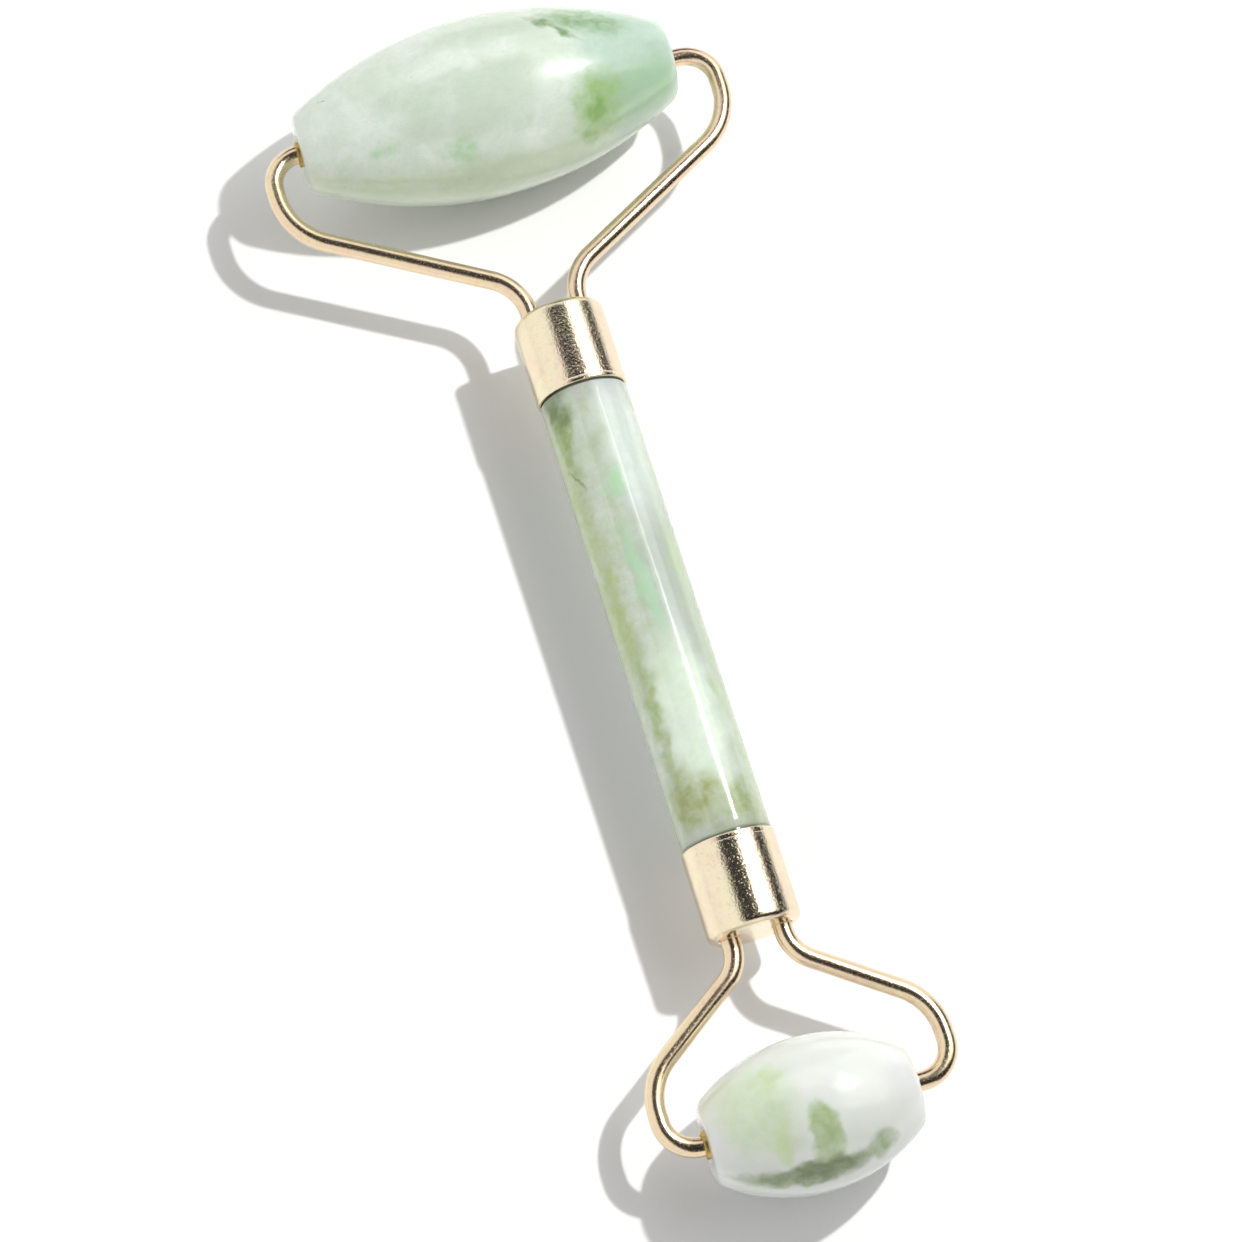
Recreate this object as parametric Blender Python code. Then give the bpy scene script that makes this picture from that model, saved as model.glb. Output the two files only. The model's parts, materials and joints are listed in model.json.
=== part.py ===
"""Jade face roller with a large and a small barrel stone.

Every sub-part is one named object. Units are metres and +Z is up.

Two frames are used. The assembly frame has its origin at the middle of the handle, +Y along the
handle towards the large stone and +X along the stones' axes; all the fixed pieces are drawn in it.
The assembly empty sets that frame down on the world's floor, leaning by about one degree, so that
both stones touch z = 0 and the world origin lies under the middle of the whole roller.
"""

import math

import bmesh
import bpy

MM = 0.001

# Handle, a round stone rod with a thinner spigot at each end
HANDLE_RADIUS = 5.2 * MM
HANDLE_VISIBLE_LENGTH = 55.4 * MM
SPIGOT_RADIUS = 4.88 * MM
SPIGOT_LENGTH = 4.8 * MM
HANDLE_EDGE = 0.25 * MM

# Ferrules, drawn brass caps closed at the fork end
FERRULE_RADIUS = 5.38 * MM
FERRULE_LENGTH = 10.5 * MM
FERRULE_WALL = 0.36 * MM
FERRULE_END_WALL = 0.5 * MM
FERRULE_CORNER = 0.9 * MM
MOUTH_EDGE = 0.1 * MM

# Fork wires
WIRE_RADIUS = 1.1 * MM
LEG_HALF_SPACING = 3.0 * MM
HIDDEN_LEG = 1.0 * MM
OUTER_BEND_RADIUS = 3.75 * MM
WIRE_TIP_CHAMFER = 0.2 * MM
WIRE_SIDES = 12
ARC_STEP = math.radians(12)

# Stones: barrels with an arc for a side, flat ends with a rounded edge, bored through
LARGE_STONE_RADIUS = 10.75 * MM
LARGE_STONE_LENGTH = 45.6 * MM
LARGE_STONE_END_RADIUS = 4.5 * MM
SMALL_STONE_RADIUS = 8.5 * MM
SMALL_STONE_LENGTH = 23.6 * MM
SMALL_STONE_END_RADIUS = 4.35 * MM
STONE_EDGE = 1.6 * MM
EDGE_STEP = math.radians(16)
STONE_END_FLOAT = -0.4 * MM

# Axles and bushes
LARGE_AXIS_FROM_MIDDLE = 66.4 * MM
SMALL_AXIS_FROM_MIDDLE = 59.0 * MM
BUSH_LENGTH = 6.0 * MM
BUSH_OUTER_RADIUS = 1.55 * MM
BUSH_BORE_RADIUS = 1.2 * MM
BUSH_PROUD = 0.35 * MM
BUSH_EDGE = 0.1 * MM
PIN_ENGAGEMENT = 4.6 * MM

# Gaps
ASSEMBLY_GAP = 0.3 * MM
GLUE_GAP = 0.1 * MM
WIRE_HOLE_GAP = 0.12 * MM

# Facets of the turned pieces
STONE_SEGMENTS = 40
ROD_SEGMENTS = 36
BUSH_SEGMENTS = 24

# Worked out from the sizes above
MOUTH_Y = HANDLE_VISIBLE_LENGTH / 2
CLOSED_END_Y = MOUTH_Y + FERRULE_LENGTH
FERRULE_BORE_RADIUS = FERRULE_RADIUS - FERRULE_WALL
CAVITY_END_Y = CLOSED_END_Y - FERRULE_END_WALL
SHOULDER_Y = MOUTH_Y - ASSEMBLY_GAP
SPIGOT_END_Y = SHOULDER_Y + SPIGOT_LENGTH
PLUG_START_Y = SPIGOT_END_Y + ASSEMBLY_GAP
PLUG_END_Y = CAVITY_END_Y - ASSEMBLY_GAP
STONE_BORE_RADIUS = BUSH_OUTER_RADIUS + GLUE_GAP
AXIS_SPACING = LARGE_AXIS_FROM_MIDDLE + SMALL_AXIS_FROM_MIDDLE
LEAN = math.asin((LARGE_STONE_RADIUS - SMALL_STONE_RADIUS) / AXIS_SPACING)

# One entry for each fork: the direction it faces along Y, how far its stone's axis is from the
# handle's middle, its half width over the wire's centre line, where its widest point lies below
# the stone's axis, the slope of its shoulders, and the radii of the two bends of an arm
FORKS = {
    "large": {
        "facing": 1,
        "axis": LARGE_AXIS_FROM_MIDDLE,
        "half_width": 27.2 * MM,
        "widest_below_axis": 4.9 * MM,
        "slope": math.radians(30),
        "neck_radius": 6.0 * MM,
        "shoulder_radius": 8.1 * MM,
        "stone_length": LARGE_STONE_LENGTH,
    },
    "small": {
        "facing": -1,
        "axis": SMALL_AXIS_FROM_MIDDLE,
        "half_width": 16.3 * MM,
        "widest_below_axis": 4.6 * MM,
        "slope": math.radians(35.5),
        "neck_radius": 4.5 * MM,
        "shoulder_radius": 7.0 * MM,
        "stone_length": SMALL_STONE_LENGTH,
    },
}

# Colour, roughness and metallic value of each material
MATERIALS = {
    "pale_jade": ((0.66, 0.76, 0.66, 1.0), 0.12, 0.0),
    "mottled_jade": ((0.70, 0.80, 0.66, 1.0), 0.12, 0.0),
    "handle_jade": ((0.56, 0.70, 0.52, 1.0), 0.12, 0.0),
    "gold_plated_brass": ((0.86, 0.72, 0.52, 1.0), 0.25, 1.0),
    "wire_brass": ((0.84, 0.68, 0.47, 1.0), 0.25, 1.0),
    "bush_brass": ((0.78, 0.60, 0.28, 1.0), 0.35, 1.0),
    "clear_cement": ((0.80, 0.76, 0.62, 1.0), 0.45, 0.0),
}


def clear_scene():
    for item in list(bpy.data.objects):
        bpy.data.objects.remove(item, do_unlink=True)


def make_material(name):
    colour, roughness, metallic = MATERIALS[name]
    material = bpy.data.materials.new(name)
    material.use_nodes = True
    shader = material.node_tree.nodes["Principled BSDF"]
    shader.inputs["Base Color"].default_value = colour
    shader.inputs["Roughness"].default_value = roughness
    shader.inputs["Metallic"].default_value = metallic
    material.diffuse_color = colour
    return material


def make_empty(name, location, parent=None, lean=0.0):
    empty = bpy.data.objects.new(name, None)
    empty.empty_display_size = 5 * MM
    bpy.context.collection.objects.link(empty)
    empty.location = location
    empty.rotation_euler = (lean, 0.0, 0.0)
    empty.parent = parent
    return empty


def add_object(name, mesh, parent, material=None, sharp_angle=35):
    """Link a mesh as the object called name, shaded smooth apart from its sharp edges."""
    item = bpy.data.objects.new(name, mesh)
    bpy.context.collection.objects.link(item)
    item.parent = parent
    if material is not None:
        mesh.materials.append(material)
    mesh.shade_smooth()
    mesh.set_sharp_from_angle(angle=math.radians(sharp_angle))
    return item


def arc(centre, radius, start, end, step=ARC_STEP):
    """Points of an arc in a plane, both ends included, evenly spaced and at most step apart."""
    count = max(1, math.ceil(abs(end - start) / step - 1e-6))
    angles = [start + (end - start) * i / count for i in range(count + 1)]
    return [(centre[0] + radius * math.cos(a), centre[1] + radius * math.sin(a)) for a in angles]


def turned_mesh(name, outline, axis, segments, closed):
    """Turn an outline of (distance along the axis, radius) points about the X or the Y axis.

    A closed outline makes a piece with a hole along its axis. An open one starts and ends on the
    axis, where its radius is 0.
    """
    shape = bmesh.new()
    rings = []
    for along, radius in outline:
        count = segments if radius > 0.0 else 1
        ring = []
        for i in range(count):
            turn = 2 * math.pi * i / segments
            across = radius * math.cos(turn)
            up = radius * math.sin(turn)
            place = (along, across, up) if axis == "X" else (across, along, up)
            ring.append(shape.verts.new(place))
        rings.append(ring)
    pairs = list(zip(rings, rings[1:]))
    if closed:
        pairs.append((rings[-1], rings[0]))
    for one, two in pairs:
        for i in range(segments):
            j = (i + 1) % segments
            if len(one) == 1:
                shape.faces.new((one[0], two[i], two[j]))
            elif len(two) == 1:
                shape.faces.new((one[i], two[0], one[j]))
            else:
                shape.faces.new((one[i], two[i], two[j], one[j]))
    bmesh.ops.recalc_face_normals(shape, faces=shape.faces)
    mesh = bpy.data.meshes.new(name)
    shape.to_mesh(mesh)
    shape.free()
    return mesh


def tube_mesh(name, path, radius, chamfer=0.0, sides=WIRE_SIDES):
    """Sweep a round section along a path of (x, y) points in the plane z = 0, with flat caps."""
    count = len(path)
    shape = bmesh.new()
    rings = []
    for k, (x, y) in enumerate(path):
        before = path[max(k - 1, 0)]
        after = path[min(k + 1, count - 1)]
        run = math.hypot(after[0] - before[0], after[1] - before[1])
        side_x = -(after[1] - before[1]) / run
        side_y = (after[0] - before[0]) / run
        here = radius - chamfer if k in (0, count - 1) else radius
        ring = []
        for i in range(sides):
            turn = 2 * math.pi * (i + 0.5) / sides
            out = here * math.cos(turn)
            up = here * math.sin(turn)
            ring.append(shape.verts.new((x + side_x * out, y + side_y * out, up)))
        rings.append(ring)
    for one, two in zip(rings, rings[1:]):
        for i in range(sides):
            j = (i + 1) % sides
            shape.faces.new((one[i], two[i], two[j], one[j]))
    shape.faces.new(rings[0])
    shape.faces.new(rings[-1])
    bmesh.ops.recalc_face_normals(shape, faces=shape.faces)
    mesh = bpy.data.meshes.new(name)
    shape.to_mesh(mesh)
    shape.free()
    return mesh


def cut(item, cutter):
    """Subtract a guide object, which stays in the scene only as a wire outline."""
    cutter.hide_render = True
    cutter.display_type = "WIRE"
    modifier = item.modifiers.new("cut_" + cutter.name, "BOOLEAN")
    modifier.operation = "DIFFERENCE"
    modifier.solver = "EXACT"
    modifier.object = cutter


def barrel_outline(length, radius, end_radius, edge, bore):
    """Closed outline of a bored barrel: arc side, rounded end edges, flat ends and the bore.

    end_radius is where the arc would meet the flat end if its edge were sharp.
    """
    half = length / 2
    rise = radius - end_radius
    arc_radius = (half ** 2 + rise ** 2) / (2 * rise)
    arc_centre = radius - arc_radius
    edge_x = half - edge
    edge_y = arc_centre + math.sqrt((arc_radius - edge) ** 2 - edge_x ** 2)
    meet = math.atan2(edge_y - arc_centre, edge_x)
    outline = arc((edge_x, edge_y), edge, 0.0, meet, EDGE_STEP)
    outline += arc((0.0, arc_centre), arc_radius, meet, math.pi - meet, (math.pi - 2 * meet) / 14)[1:]
    outline += arc((-edge_x, edge_y), edge, math.pi - meet, math.pi, EDGE_STEP)[1:]
    outline += [(-half, bore), (half, bore)]
    return outline


def tube_outline(length, outer, bore, edge):
    """Closed outline of a plain tube whose outer edges are chamfered."""
    half = length / 2
    return [
        (half, bore),
        (half, outer - edge),
        (half - edge, outer),
        (edge - half, outer),
        (-half, outer - edge),
        (-half, bore),
    ]


def handle_outline():
    """Open outline of the handle from one end of its axis to the other."""
    half = [
        (SPIGOT_END_Y, 0.0),
        (SPIGOT_END_Y, SPIGOT_RADIUS - HANDLE_EDGE),
        (SPIGOT_END_Y - HANDLE_EDGE, SPIGOT_RADIUS),
        (SHOULDER_Y, SPIGOT_RADIUS),
        (SHOULDER_Y, HANDLE_RADIUS - HANDLE_EDGE / 2),
        (SHOULDER_Y - HANDLE_EDGE / 2, HANDLE_RADIUS),
    ]
    middle = [(MOUTH_Y / 3, HANDLE_RADIUS)]
    other = [(-y, radius) for y, radius in reversed(half + middle)]
    return half + middle + other


def ferrule_outline():
    """Open outline of a cap: the closed end, the outer wall, the mouth's edge and the inside."""
    corner_y = CLOSED_END_Y - FERRULE_CORNER
    corner_radius = FERRULE_RADIUS - FERRULE_CORNER
    inner_corner = FERRULE_CORNER - FERRULE_WALL
    outline = [(CLOSED_END_Y, 0.0)]
    outline += arc((corner_y, corner_radius), FERRULE_CORNER, 0.0, math.pi / 2, math.radians(30))
    outline += [
        (MOUTH_Y + MOUTH_EDGE, FERRULE_RADIUS),
        (MOUTH_Y, FERRULE_RADIUS - MOUTH_EDGE),
        (MOUTH_Y, FERRULE_BORE_RADIUS),
        (CAVITY_END_Y - inner_corner, FERRULE_BORE_RADIUS),
        (CAVITY_END_Y, FERRULE_BORE_RADIUS - inner_corner),
        (CAVITY_END_Y, 0.0),
    ]
    return outline


def plug_outline():
    """Open outline of the cement that fills a cap behind the handle's spigot."""
    radius = FERRULE_BORE_RADIUS - GLUE_GAP
    edge = FERRULE_CORNER - FERRULE_WALL
    return [
        (PLUG_START_Y, 0.0),
        (PLUG_START_Y, radius),
        (PLUG_END_Y - edge, radius),
        (PLUG_END_Y, radius - edge),
        (PLUG_END_Y, 0.0),
    ]


def hidden_bend():
    """The U bend inside the cap, from the left leg round to the right leg."""
    centre_y = CLOSED_END_Y - HIDDEN_LEG
    return arc((0.0, centre_y), LEG_HALF_SPACING, math.pi, 2 * math.pi)


def arm_path(fork):
    """Centre line of a right arm, from where it leaves the cap to the tip of its pin.

    The leg bends out through the neck to a sloping shoulder, turns up beside the stone through the
    shoulder bend, and comes back in through the outer bend as the pin on the stone's axis.
    """
    slope = fork["slope"]
    neck = fork["neck_radius"]
    shoulder = fork["shoulder_radius"]
    widest_y = fork["axis"] - fork["widest_below_axis"]
    shoulder_centre = (fork["half_width"] - shoulder, widest_y)
    foot_x = shoulder_centre[0] + shoulder * math.sin(slope)
    foot_y = shoulder_centre[1] - shoulder * math.cos(slope)
    neck_x = LEG_HALF_SPACING + neck
    run_to_neck = neck * (1 - math.sin(slope))
    top_of_neck_y = foot_y - (foot_x - LEG_HALF_SPACING - run_to_neck) * math.tan(slope)
    neck_centre = (neck_x, top_of_neck_y - neck * math.cos(slope))
    outer_centre = (fork["half_width"] - OUTER_BEND_RADIUS, fork["axis"] - OUTER_BEND_RADIUS)
    pin_tip_x = fork["stone_length"] / 2 - PIN_ENGAGEMENT
    path = arc(neck_centre, neck, math.pi, math.pi / 2 + slope)
    path += arc(shoulder_centre, shoulder, slope - math.pi / 2, 0.0)
    path += arc(outer_centre, OUTER_BEND_RADIUS, 0.0, math.pi / 2)
    path += [(pin_tip_x + WIRE_TIP_CHAMFER, fork["axis"]), (pin_tip_x, fork["axis"])]
    return path


def fork_path(fork):
    """Whole centre line of a fork: left pin, left arm, hidden bend, right arm, right pin."""
    right = arm_path(fork)
    left = [(-x, y) for x, y in reversed(right)]
    facing = fork["facing"]
    return [(x, facing * y) for x, y in left + hidden_bend() + right]


def facing_outline(outline, facing):
    return [(facing * along, radius) for along, radius in outline]


def add_ferrule(name, facing, material, parent):
    outline = facing_outline(ferrule_outline(), facing)
    mesh = turned_mesh(name, outline, "Y", ROD_SEGMENTS, closed=False)
    ferrule = add_object(name, mesh, parent, material)
    reach = FERRULE_CORNER
    for side, label in ((-1, "left"), (1, "right")):
        x = side * LEG_HALF_SPACING
        path = [(x, facing * (CLOSED_END_Y + reach)), (x, facing * (CAVITY_END_Y - reach))]
        hole_name = "{}_{}_hole_guide".format(name, label)
        hole = tube_mesh(hole_name, path, WIRE_RADIUS + WIRE_HOLE_GAP)
        cut(ferrule, add_object(hole_name, hole, parent))
    return ferrule


def add_plug(name, facing, material, parent):
    outline = facing_outline(plug_outline(), facing)
    mesh = turned_mesh(name, outline, "Y", ROD_SEGMENTS, closed=False)
    plug = add_object(name, mesh, parent, material)
    path = [(-LEG_HALF_SPACING, CLOSED_END_Y)] + hidden_bend() + [(LEG_HALF_SPACING, CLOSED_END_Y)]
    channel_name = name + "_channel_guide"
    channel = tube_mesh(channel_name, [(x, facing * y) for x, y in path], WIRE_RADIUS + GLUE_GAP)
    cut(plug, add_object(channel_name, channel, parent))
    return plug


def add_fork(name, fork, material, parent):
    mesh = tube_mesh(name, fork_path(fork), WIRE_RADIUS, WIRE_TIP_CHAMFER)
    return add_object(name, mesh, parent, material)


def add_roller(name, fork, radius, end_radius, stone_material, bush_material, parent):
    """A stone and the two bushes in its bore, all children of an empty on the joint axis."""
    axis = make_empty(name + "_axis", (0.0, fork["facing"] * fork["axis"], 0.0), parent)
    length = fork["stone_length"]
    outline = barrel_outline(length, radius, end_radius, STONE_EDGE, STONE_BORE_RADIUS)
    mesh = turned_mesh(name + "_stone", outline, "X", STONE_SEGMENTS, closed=True)
    stone = add_object(name + "_stone", mesh, axis, stone_material, sharp_angle=50)
    stone.location.x = STONE_END_FLOAT
    outline = tube_outline(BUSH_LENGTH, BUSH_OUTER_RADIUS, BUSH_BORE_RADIUS, BUSH_EDGE)
    mesh = turned_mesh(name + "_bush", outline, "X", BUSH_SEGMENTS, closed=True)
    from_middle = (length - BUSH_LENGTH) / 2 + BUSH_PROUD
    mesh.materials.append(bush_material)
    for side, label in ((-1, "left"), (1, "right")):
        bush = add_object("{}_bush_{}".format(name, label), mesh, axis)
        bush.location.x = STONE_END_FLOAT + side * from_middle


def main():
    clear_scene()
    material = {name: make_material(name) for name in MATERIALS}

    origin_z = LARGE_STONE_RADIUS - LARGE_AXIS_FROM_MIDDLE * math.sin(LEAN)
    axes_middle = (LARGE_AXIS_FROM_MIDDLE - SMALL_AXIS_FROM_MIDDLE) * math.cos(LEAN)
    origin_y = -(axes_middle + LARGE_STONE_RADIUS - SMALL_STONE_RADIUS) / 2
    assembly = make_empty("assembly", (0.0, origin_y, origin_z), lean=LEAN)

    mesh = turned_mesh("handle_stone", handle_outline(), "Y", ROD_SEGMENTS, closed=False)
    add_object("handle_stone", mesh, assembly, material["handle_jade"])
    for name, facing in (("upper", 1), ("lower", -1)):
        add_ferrule(name + "_ferrule", facing, material["gold_plated_brass"], assembly)
        add_plug(name + "_adhesive_plug", facing, material["clear_cement"], assembly)
    for name, fork in FORKS.items():
        add_fork(name + "_fork_wire", fork, material["wire_brass"], assembly)
    add_roller("large_roller", FORKS["large"], LARGE_STONE_RADIUS, LARGE_STONE_END_RADIUS,
               material["pale_jade"], material["bush_brass"], assembly)
    add_roller("small_roller", FORKS["small"], SMALL_STONE_RADIUS, SMALL_STONE_END_RADIUS,
               material["mottled_jade"], material["bush_brass"], assembly)


main()
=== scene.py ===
"""Looks of the jade face roller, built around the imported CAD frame.

The visible pieces are drawn in three local frames: the assembly frame (origin at the middle of the
handle, +Y along the handle towards the large stone, +X along the stones' axes) and one frame at the
middle of each stone. A piece's own object coordinates are what its material reads, so the pattern
stays with the piece when its body turns.
"""

import json
import math

import bmesh
import bpy
from mathutils import Matrix, Vector, noise


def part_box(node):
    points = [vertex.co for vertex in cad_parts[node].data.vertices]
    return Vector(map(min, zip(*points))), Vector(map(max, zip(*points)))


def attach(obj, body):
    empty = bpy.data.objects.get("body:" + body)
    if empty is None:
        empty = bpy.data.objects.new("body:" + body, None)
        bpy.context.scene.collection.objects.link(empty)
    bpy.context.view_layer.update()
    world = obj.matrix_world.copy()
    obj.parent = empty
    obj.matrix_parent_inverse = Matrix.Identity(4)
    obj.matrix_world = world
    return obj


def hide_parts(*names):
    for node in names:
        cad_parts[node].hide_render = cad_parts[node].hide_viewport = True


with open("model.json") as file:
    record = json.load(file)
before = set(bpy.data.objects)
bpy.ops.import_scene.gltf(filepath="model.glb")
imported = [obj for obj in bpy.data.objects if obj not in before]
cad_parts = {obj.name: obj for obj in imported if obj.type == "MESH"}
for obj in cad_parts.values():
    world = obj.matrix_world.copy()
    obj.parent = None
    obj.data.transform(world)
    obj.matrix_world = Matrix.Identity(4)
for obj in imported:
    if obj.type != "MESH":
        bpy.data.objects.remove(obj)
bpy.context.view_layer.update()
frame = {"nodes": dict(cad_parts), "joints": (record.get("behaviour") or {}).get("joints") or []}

MM = 0.001

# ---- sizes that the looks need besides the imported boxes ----
SPIGOT_RADIUS = 4.88 * MM
SPIGOT_LENGTH = 4.8 * MM
HANDLE_EDGE = 0.25 * MM
FERRULE_WALL = 0.36 * MM
FERRULE_END_WALL = 0.5 * MM
FERRULE_CORNER = 0.9 * MM
MOUTH_EDGE = 0.1 * MM
LIP_FROM_MOUTH = 0.62 * MM
LIP_DEPTH = 0.02 * MM
LIP_HALF_WIDTH = 0.09 * MM
WIRE_RADIUS = 1.1 * MM
LEG_HALF_SPACING = 3.0 * MM
HIDDEN_LEG = 1.0 * MM
OUTER_BEND_RADIUS = 3.75 * MM
WIRE_TIP_CHAMFER = 0.2 * MM
WIRE_HOLE_GAP = 0.12 * MM
HOLE_FLARE = 0.14 * MM
STONE_EDGE = 1.6 * MM
STONE_BORE_RADIUS = 1.65 * MM
BORE_CHAMFER = 0.3 * MM
LARGE_STONE_END_RADIUS = 4.5 * MM
SMALL_STONE_END_RADIUS = 4.35 * MM
BUSH_BORE_RADIUS = 1.2 * MM
BUSH_EDGE = 0.1 * MM
PIN_ENGAGEMENT = 4.6 * MM
STONE_HOLLOWS = 0.07 * MM
STONE_HOLLOWS_ACROSS = 9 * MM
FLOOR_REACH = 2.0

FORKS = {
    "large": {
        "facing": 1,
        "half_width": 27.2 * MM,
        "widest_below_axis": 4.9 * MM,
        "slope": math.radians(30),
        "neck_radius": 6.0 * MM,
        "shoulder_radius": 8.1 * MM,
    },
    "small": {
        "facing": -1,
        "half_width": 16.3 * MM,
        "widest_below_axis": 4.6 * MM,
        "slope": math.radians(35.5),
        "neck_radius": 4.5 * MM,
        "shoulder_radius": 7.0 * MM,
    },
}

# ---- fineness of the meshes ----
ARC_STEP = math.radians(4)
EDGE_STEP = math.radians(11)
STONE_SEGMENTS = 144
ROD_SEGMENTS = 120
BUSH_SEGMENTS = 56
HOLE_SEGMENTS = 48
WIRE_SIDES = 28
STONE_FACE_RINGS = 5
HANDLE_RINGS = 64
CAP_RINGS = 44
CAP_BORE_RINGS = 6
SHARP_ANGLE = math.radians(38)

# ---- light and camera ----
CAMERA_HEADING = math.radians(22.113)
CAMERA_ELEVATION = math.radians(70.558)
CAMERA_ROLL = math.radians(5.444)
CAMERA_DISTANCE = 377.92 * MM
CAMERA_LENS = 97.29
CAMERA_AIM = Vector((-3.887, -4.437, 9.56)) * MM
KEY_PLACE = Vector((195, 61, 319)) * MM
KEY_DIAMETER = 15 * MM
KEY_POWER = 1.06
# A faint strip beside the key, parallel to the handle, for the long line of light on round jade
STRIP_PLACE = Vector((196, 112, 319)) * MM
STRIP_LENGTH = 140 * MM
STRIP_WIDTH = 16 * MM
STRIP_POWER = 0.042
# The room, told by angle about the Y axis, 0 overhead and positive towards +X, and by tilt towards +Y
WALL_BRIGHT = 1.03
ROOM_DARK = 0.025
SOFTBOX_BRIGHT = 1.65
HORIZON_BRIGHT = 0.9
LEFT_WALL_ENDS = math.radians(-29)
RIGHT_DARK_ENDS = math.radians(115)
BACK_PANEL = (math.radians(29), math.radians(58))
FRONT_WALL_ENDS = math.radians(-60)
SOFTBOX_TURN = (math.radians(22), math.radians(59))
SOFTBOX_TILT = (math.radians(-16), math.radians(44))
ROOM_EDGE = math.radians(2.5)

# ---- jade ----
# The stone's own colour is this share of the colour that is seen on it when it is lit
JADE_DENSITY = 0.97
JADE_IOR = 1.6
JADE_SCATTER = (0.9, 1.0, 0.8)
JADE_SCATTER_DEPTH = 11 * MM
# In millimetres, as the materials read places: the radii on which the patterns are unrolled, and how
# far from the handle's middle the caps' mouths lie
LARGE_PATTERN_RADIUS = 10.75
SMALL_PATTERN_RADIUS = 8.5
HANDLE_PATTERN_RADIUS = 5.2
CAP_MOUTH_AT = 27.7
DEGREES_IN_A_RADIAN = 57.3


def srgb(red, green, blue):
    """A colour given by its 0 to 255 display values, as a linear RGBA tuple."""
    def linear(value):
        value /= 255
        return value / 12.92 if value <= 0.04045 else ((value + 0.055) / 1.055) ** 2.4
    return (linear(red), linear(green), linear(blue), 1.0)


def jade_colour(red, green, blue):
    """A jade colour as it is seen on a lit stone; the stone itself is a little darker."""
    return tuple(value * JADE_DENSITY for value in srgb(red, green, blue)[:3]) + (1.0,)


# =====================================================================================
# Mesh building
# =====================================================================================

def arc(centre, radius, start, end, step=ARC_STEP):
    """Points of an arc in a plane, both ends included, at most step apart."""
    count = max(1, math.ceil(abs(end - start) / step - 1e-6))
    angles = [start + (end - start) * i / count for i in range(count + 1)]
    return [(centre[0] + radius * math.cos(a), centre[1] + radius * math.sin(a)) for a in angles]


def run(start, end, count):
    """Points strictly between two (along, radius) points, to give a long wall some rings."""
    return [
        (start[0] + (end[0] - start[0]) * i / count, start[1] + (end[1] - start[1]) * i / count)
        for i in range(1, count)
    ]


def new_piece(name, shape, matrix):
    """Turn a bmesh into a smooth-shaded object that sits at a local frame."""
    bmesh.ops.recalc_face_normals(shape, faces=shape.faces)
    mesh = bpy.data.meshes.new(name)
    shape.to_mesh(mesh)
    shape.free()
    mesh.shade_smooth()
    mesh.set_sharp_from_angle(angle=SHARP_ANGLE)
    piece = bpy.data.objects.new(name, mesh)
    bpy.context.scene.collection.objects.link(piece)
    piece.matrix_world = matrix
    return piece


def turned(name, outline, axis, segments, matrix, closed, relief=None):
    """Turn an outline of (along, radius) points about the local X or Y axis.

    relief(along, turn, radius) gives how far a point stands in or out of the true surface.
    """
    shape = bmesh.new()
    rings = []
    for along, radius in outline:
        count = segments if radius > 0.0 else 1
        ring = []
        for i in range(count):
            turn = 2 * math.pi * i / segments
            reach = radius + (relief(along, turn, radius) if relief and radius > 0.0 else 0.0)
            across = reach * math.cos(turn)
            up = reach * math.sin(turn)
            ring.append(shape.verts.new((along, across, up) if axis == "X" else (across, along, up)))
        rings.append(ring)
    pairs = list(zip(rings, rings[1:]))
    if closed:
        pairs.append((rings[-1], rings[0]))
    for one, two in pairs:
        for i in range(segments):
            j = (i + 1) % segments
            if len(one) == 1:
                shape.faces.new((one[0], two[i], two[j]))
            elif len(two) == 1:
                shape.faces.new((one[i], two[0], one[j]))
            else:
                shape.faces.new((one[i], two[i], two[j], one[j]))
    return new_piece(name, shape, matrix)


def swept(name, path, radius, matrix, chamfer):
    """Sweep a round section along (x, y) points in the local plane z = 0, with flat caps."""
    count = len(path)
    shape = bmesh.new()
    rings = []
    for k, (x, y) in enumerate(path):
        before = path[max(k - 1, 0)]
        after = path[min(k + 1, count - 1)]
        length = math.hypot(after[0] - before[0], after[1] - before[1])
        side_x = -(after[1] - before[1]) / length
        side_y = (after[0] - before[0]) / length
        here = radius - chamfer if k in (0, count - 1) else radius
        ring = []
        for i in range(WIRE_SIDES):
            turn = 2 * math.pi * (i + 0.5) / WIRE_SIDES
            out = here * math.cos(turn)
            ring.append(shape.verts.new((x + side_x * out, y + side_y * out, here * math.sin(turn))))
        rings.append(ring)
    for one, two in zip(rings, rings[1:]):
        for i in range(WIRE_SIDES):
            j = (i + 1) % WIRE_SIDES
            shape.faces.new((one[i], two[i], two[j], one[j]))
    shape.faces.new(rings[0])
    shape.faces.new(rings[-1])
    return new_piece(name, shape, matrix)


def cut_away(piece, cutters):
    """Subtract the cutters from a piece for good, and remove them."""
    for cutter in cutters:
        modifier = piece.modifiers.new("cut", "BOOLEAN")
        modifier.operation = "DIFFERENCE"
        modifier.solver = "EXACT"
        modifier.object = cutter
    bpy.context.view_layer.update()
    graph = bpy.context.evaluated_depsgraph_get()
    mesh = bpy.data.meshes.new_from_object(piece.evaluated_get(graph))
    piece.modifiers.clear()
    plain = piece.data
    piece.data = mesh
    bpy.data.meshes.remove(plain)
    mesh.shade_smooth()
    mesh.set_sharp_from_angle(angle=SHARP_ANGLE)
    for cutter in cutters:
        bpy.data.objects.remove(cutter, do_unlink=True)


# =====================================================================================
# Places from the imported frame
# =====================================================================================

def joint_place(name):
    found = [joint for joint in frame["joints"] if joint["name"] == name]
    return Vector(found[0]["pos_m"])


def middle_of(node):
    low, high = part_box(node)
    return (low + high) / 2


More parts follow.
